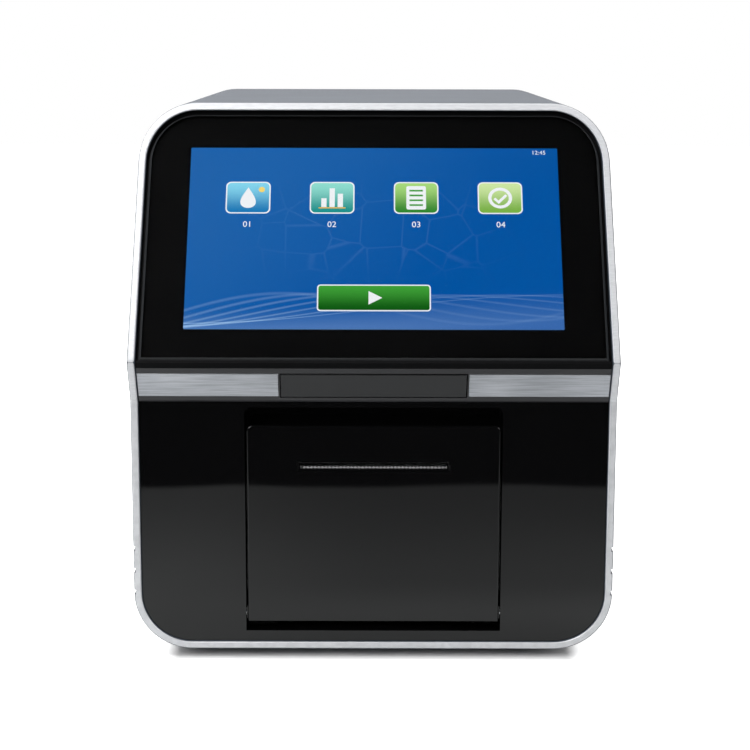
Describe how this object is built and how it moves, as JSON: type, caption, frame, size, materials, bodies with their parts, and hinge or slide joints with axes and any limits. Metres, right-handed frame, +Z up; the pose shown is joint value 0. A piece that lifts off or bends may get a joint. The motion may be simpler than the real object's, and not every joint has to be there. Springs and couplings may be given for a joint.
{
  "type": "biochemistry analyzer",
  "caption": "Compact bench analyzer with a sloped touch screen, a motorised disc tray, and a drop-down door over a built-in label printer.",
  "frame": {"origin": "centre of the footprint, on the surface it stands on", "axes": "+X to the viewer's right, +Y to the back, +Z up"},
  "size_m": [0.198, 0.3124, 0.2275],
  "materials": {
    "sleeve_metal": "grey anodised, cut front edge brushed bright",
    "bezel_black": "fine satin moulding",
    "cover_glass": "black-backed, polished edge",
    "tape_black": "foam tape",
    "panel_picture": "lit picture panel",
    "sheet_steel": "zinc plated sheet",
    "screw_steel": "machined, zinc plated",
    "board_green": "coated circuit board",
    "trim_grey": "dark satin moulding",
    "strip_metal": "brushed along its length",
    "fascia_black": "high gloss",
    "magnet_nickel": "nickel plated",
    "tear_steel": "stamped stainless",
    "black_plastic": "moulded",
    "white_plastic": "moulded",
    "gear_plastic": "natural acetal",
    "label_paper": "coated thermal paper on a card core",
    "platen_rubber": "ground",
    "foot_rubber": "moulded",
    "milled_aluminium": "milled",
    "motor_steel": "drawn can",
    "lamp_black": "black anodised fins",
    "pin_brass": "nickelled"
  },
  "bodies": {
    "root": {"housing_sleeve": "sleeve_metal", "display_bezel": "bezel_black", "touch_glass": "cover_glass", "glass_gasket": "tape_black", "lcd_module": "panel_picture", "display_bracket": "sheet_steel", "display_board": "board_green", "mid_trim": "trim_grey", "brushed_strips": "strip_metal", "lower_fascia": "fascia_black", "catch_plates": "magnet_nickel", "door_hinge_pins": "screw_steel", "paper_cradle": "black_plastic", "printer_frame": "sheet_steel", "print_head": "milled_aluminium", "printer_motor": "motor_steel", "base_plate": "sheet_steel", "feet": "foot_rubber", "foot_screws": "screw_steel", "analysis_deck": "milled_aluminium", "deck_columns": "screw_steel", "inner_screws": "screw_steel", "tray_rails": "black_plastic", "tray_motor": "motor_steel", "guide_pins": "screw_steel", "lift_motor": "motor_steel", "detector_block": "lamp_black", "chamber_lid": "black_plastic", "lamp_module": "lamp_black", "barcode_reader": "black_plastic", "corner_blocks": "milled_aluminium", "rear_panel": "sheet_steel", "rear_screws": "screw_steel", "fan_frame": "black_plastic", "fan_guard": "screw_steel", "mains_inlet": "black_plastic", "inlet_pins": "pin_brass", "switch_housing": "black_plastic", "power_supply": "sheet_steel", "board_shelf": "sheet_steel", "main_board": "board_green", "board_sockets": "screw_steel"},
    "tray": {"disc_tray": "black_plastic", "tray_front": "trim_grey"},
    "tray_drive": {"tray_pinion": "gear_plastic"},
    "carriage": {"spindle_carriage": "milled_aluminium", "spindle_motor": "motor_steel", "lift_rod": "screw_steel"},
    "spindle": {"spindle_hub": "gear_plastic"},
    "clamp": {"disc_clamp": "white_plastic"},
    "door": {"printer_door": "fascia_black", "door_magnets": "magnet_nickel", "tear_bar": "tear_steel"},
    "roll": {"paper_roll": "label_paper"},
    "platen": {"platen_sleeve": "platen_rubber", "platen_shaft": "screw_steel"},
    "idler": {"idler_gear": "gear_plastic"},
    "drive": {"motor_gear": "screw_steel"},
    "fan": {"fan_rotor": "black_plastic"},
    "rocker": {"power_rocker": "black_plastic"}
  },
  "joints": [
    {"name": "tray_slide", "type": "slide", "parent": "root", "child": "tray", "axis": [0, -1, 0], "range_m": [0, 0.107]},
    {"name": "tray_pinion_spin", "type": "hinge", "parent": "root", "child": "tray_drive", "pos_m": [-0.043, -0.09365, 0.11133], "axis": [0, 0, -1], "range_deg": [-4, 880]},
    {"name": "spindle_lift", "type": "slide", "parent": "root", "child": "carriage", "axis": [0, 0, 1], "range_m": [0, 0.004]},
    {"name": "spindle_spin", "type": "hinge", "parent": "carriage", "child": "spindle", "pos_m": [0, -0.08565, 0.10633], "axis": [0, 0, 1], "continuous": true},
    {"name": "clamp_spin", "type": "hinge", "parent": "root", "child": "clamp", "pos_m": [0, -0.08565, 0.12575], "axis": [0, 0, 1], "continuous": true},
    {"name": "printer_door_hinge", "type": "hinge", "parent": "root", "child": "door", "pos_m": [0, -0.1371, 0.01826], "axis": [1, 0, 0], "range_deg": [0, 80]},
    {"name": "paper_roll_spin", "type": "hinge", "parent": "root", "child": "roll", "pos_m": [0, -0.11165, 0.0365], "axis": [1, 0, 0], "continuous": true},
    {"name": "platen_spin", "type": "hinge", "parent": "root", "child": "platen", "pos_m": [0, -0.12965, 0.08605], "axis": [1, 0, 0], "continuous": true},
    {"name": "idler_spin", "type": "hinge", "parent": "root", "child": "idler", "pos_m": [0.0333, -0.1244, 0.07696], "axis": [1, 0, 0], "continuous": true},
    {"name": "motor_gear_spin", "type": "hinge", "parent": "root", "child": "drive", "pos_m": [0.0333, -0.1233, 0.06853], "axis": [1, 0, 0], "continuous": true},
    {"name": "fan_spin", "type": "hinge", "parent": "root", "child": "fan", "pos_m": [0, 0.1295, 0.168], "axis": [0, 1, 0], "continuous": true},
    {"name": "power_rocker_tilt", "type": "hinge", "parent": "root", "child": "rocker", "pos_m": [0.0578, 0.1507, 0.049], "axis": [1, 0, 0], "range_deg": [0, 16]}
  ],
  "couplings": [
    {"joint": "tray_pinion_spin", "follows": "tray_slide", "rad_per_m": 142.86},
    {"joint": "idler_spin", "follows": "platen_spin", "ratio": -0.75},
    {"joint": "motor_gear_spin", "follows": "platen_spin", "ratio": 1.8}
  ]
}
